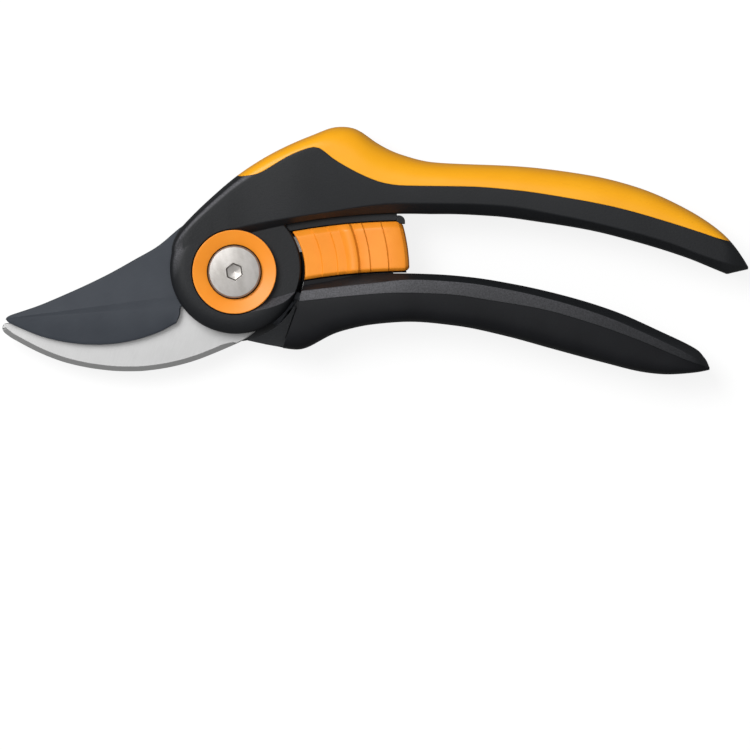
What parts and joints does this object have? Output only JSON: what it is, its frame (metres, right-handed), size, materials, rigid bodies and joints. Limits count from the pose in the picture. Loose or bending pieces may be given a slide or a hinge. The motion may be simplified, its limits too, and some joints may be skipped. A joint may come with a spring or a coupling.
{
  "type": "bypass pruner",
  "caption": "Hand pruner with a coated bypass blade over a hooked jaw, soft-backed curved handles, a socket-head pivot bolt and a thumb slider that locks it closed.",
  "frame": {"origin": "centre of the pivot nut's rear face, on the pivot axis and on the plane that the tool lies on", "axes": "+X along the tool towards the handle ends, +Y from the lower handle to the upper handle, +Z out of the face that carries the blade"},
  "size_m": [0.2092, 0.0695, 0.02],
  "materials": {
    "hard_black": "fine texture",
    "soft_yellow": "soft matte",
    "soft_black": "soft satin",
    "bright_steel": "fine ground",
    "coated_steel": "low-friction coating, satin",
    "turned_steel": "turned",
    "spring_steel": "drawn",
    "bush_metal": "turned",
    "orange_plastic": "smooth satin"
  },
  "bodies": {
    "upper": {"upper_handle": "hard_black", "upper_grip": "soft_yellow", "hook": "bright_steel", "hook_pin_near": "turned_steel", "hook_pin_far": "turned_steel", "pivot_bolt": "turned_steel", "pivot_nut": "turned_steel", "spring_washer": "spring_steel", "front_ring": "orange_plastic", "rear_ring": "orange_plastic", "pivot_bush": "bush_metal", "return_spring": "spring_steel", "slider_guide": "hard_black", "guide_screw_front": "turned_steel", "guide_screw_rear": "turned_steel", "detent_spring": "spring_steel"},
    "lower": {"lower_handle": "hard_black", "lower_grip": "soft_black", "cutting_blade": "coated_steel", "blade_pin_near": "turned_steel", "blade_pin_far": "turned_steel", "closing_bumper": "soft_black"},
    "slider": {"slider_button": "orange_plastic", "slider_carriage": "hard_black", "slider_stop": "hard_black", "lock_tongue": "turned_steel"}
  },
  "joints": [
    {"name": "handle_pivot", "type": "hinge", "parent": "upper", "child": "lower", "pos_m": [0, 0, 0], "axis": [0, 0, -1], "range_deg": [0, 32], "deforming": ["return_spring"]},
    {"name": "lock_slide", "type": "hinge", "parent": "upper", "child": "slider", "pos_m": [0.0486, -0.1698, 0], "axis": [0, 0, -1], "range_deg": [0, 3.1]}
  ]
}
